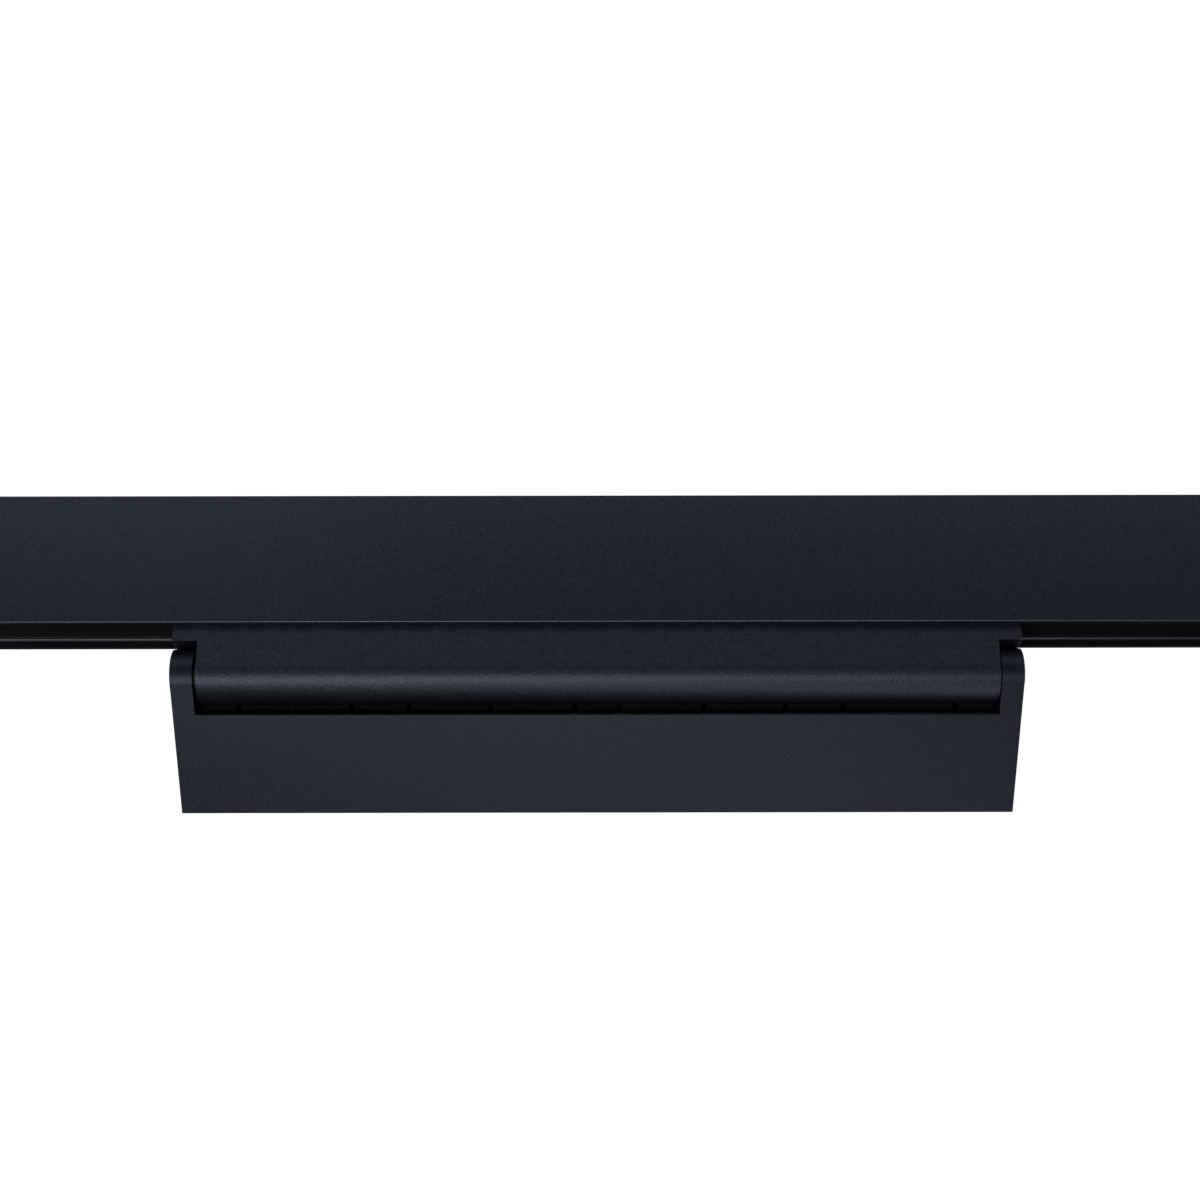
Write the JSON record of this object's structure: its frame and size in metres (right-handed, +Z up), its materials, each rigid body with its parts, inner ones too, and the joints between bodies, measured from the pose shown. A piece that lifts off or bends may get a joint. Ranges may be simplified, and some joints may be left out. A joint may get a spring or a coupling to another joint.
{
  "type": "tilting linear led luminaire in a magnetic track",
  "caption": "Slim black linear LED luminaire whose flat head tilts on a full-length hinge under an adapter held by magnets in a surface-mounted low-voltage track.",
  "frame": {"origin": "centre of the track's flat top face, which fits against the ceiling", "axes": "+X along the track, +Z up out of the top face, +Y the side that the head is tilted to at rest"},
  "size_m": [0.6052, 0.0537, 0.1145],
  "materials": {
    "anodised_rail": "black anodised, fine lengthwise extrusion lines",
    "powder_coat": "fine-grained matt black powder coat",
    "black_plastic": "fine moulded texture",
    "brown_plastic": "drawn strip, matt",
    "copper": "drawn copper",
    "brass": "turned",
    "steel": "zinc plated",
    "nickel": "nickel plated",
    "dark_screw": "black oxide",
    "rubber": "moulded",
    "board_green": "solder mask",
    "board_white": "white solder mask",
    "white_plastic": "satin reflector white",
    "opal": "opal diffusing, satin",
    "ferrite": "pressed ferrite",
    "sleeve": "shrink sleeve",
    "lead_red": "silicone insulation"
  },
  "bodies": {
    "track": {"rail_profile": "anodised_rail", "steel_strip": "steel", "insulator_front": "brown_plastic", "conductor_front_upper": "copper", "conductor_front_lower": "copper", "insulator_rear": "brown_plastic", "conductor_rear_upper": "copper", "conductor_rear_lower": "copper", "end_cap_left": "powder_coat", "end_cap_screw_left_front": "dark_screw", "end_cap_screw_left_rear": "dark_screw", "end_cap_right": "powder_coat", "end_cap_screw_right_front": "dark_screw", "end_cap_screw_right_rear": "dark_screw", "feed_block": "black_plastic", "feed_contact_plus": "brass", "feed_contact_minus": "brass", "feed_grommet": "rubber"},
    "adapter": {"adapter_housing": "powder_coat", "adapter_cover": "black_plastic", "cover_screw_left": "dark_screw", "cover_screw_right": "dark_screw", "hinge_bush_left": "brass", "hinge_bush_right": "brass", "magnet_1": "nickel", "magnet_2": "nickel", "magnet_3": "nickel", "magnet_4": "nickel", "contact_block": "black_plastic", "contact_spring_front_upper": "steel", "contact_spring_rear_upper": "steel", "contact_spring_front_lower": "steel", "contact_spring_rear_lower": "steel", "driver_board": "board_green", "driver_inductor": "ferrite", "driver_capacitor": "sleeve", "output_terminal": "white_plastic", "adapter_lead": "lead_red"},
    "contact_front_upper": {"contact_pin_front_upper": "brass"},
    "contact_rear_upper": {"contact_pin_rear_upper": "brass"},
    "contact_front_lower": {"contact_pin_front_lower": "brass"},
    "contact_rear_lower": {"contact_pin_rear_lower": "brass"},
    "head": {"head_housing": "powder_coat", "hinge_insert": "black_plastic", "end_plate_left": "powder_coat", "end_plate_screw_left_front": "dark_screw", "end_plate_screw_left_rear": "dark_screw", "end_plate_right": "powder_coat", "end_plate_screw_right_front": "dark_screw", "end_plate_screw_right_rear": "dark_screw", "hinge_pin_left": "steel", "hinge_pin_right": "steel", "spring_washer": "steel", "friction_washer": "brown_plastic", "led_board": "board_white", "reflector": "white_plastic", "diffuser": "opal", "head_lead": "lead_red"}
  },
  "joints": [
    {"name": "adapter_slide", "type": "slide", "parent": "track", "child": "adapter", "axis": [1, 0, 0], "range_m": [-0.1035, 0.1375]},
    {"name": "head_tilt", "type": "hinge", "parent": "adapter", "child": "head", "pos_m": [0, 0, -0.0687], "axis": [1, 0, 0], "range_deg": [-130, 50]},
    {"name": "contact_front_upper_press", "type": "slide", "parent": "adapter", "child": "contact_front_upper", "axis": [0, 1, 0], "range_m": [0, 0.0012], "stiffness_N_per_m": 300, "springref_m": -0.001, "deforming": ["contact_spring_front_upper"]},
    {"name": "contact_rear_upper_press", "type": "slide", "parent": "adapter", "child": "contact_rear_upper", "axis": [0, -1, 0], "range_m": [0, 0.0012], "stiffness_N_per_m": 300, "springref_m": -0.001, "deforming": ["contact_spring_rear_upper"]},
    {"name": "contact_front_lower_press", "type": "slide", "parent": "adapter", "child": "contact_front_lower", "axis": [0, 1, 0], "range_m": [0, 0.0012], "stiffness_N_per_m": 300, "springref_m": -0.001, "deforming": ["contact_spring_front_lower"]},
    {"name": "contact_rear_lower_press", "type": "slide", "parent": "adapter", "child": "contact_rear_lower", "axis": [0, -1, 0], "range_m": [0, 0.0012], "stiffness_N_per_m": 300, "springref_m": -0.001, "deforming": ["contact_spring_rear_lower"]}
  ]
}
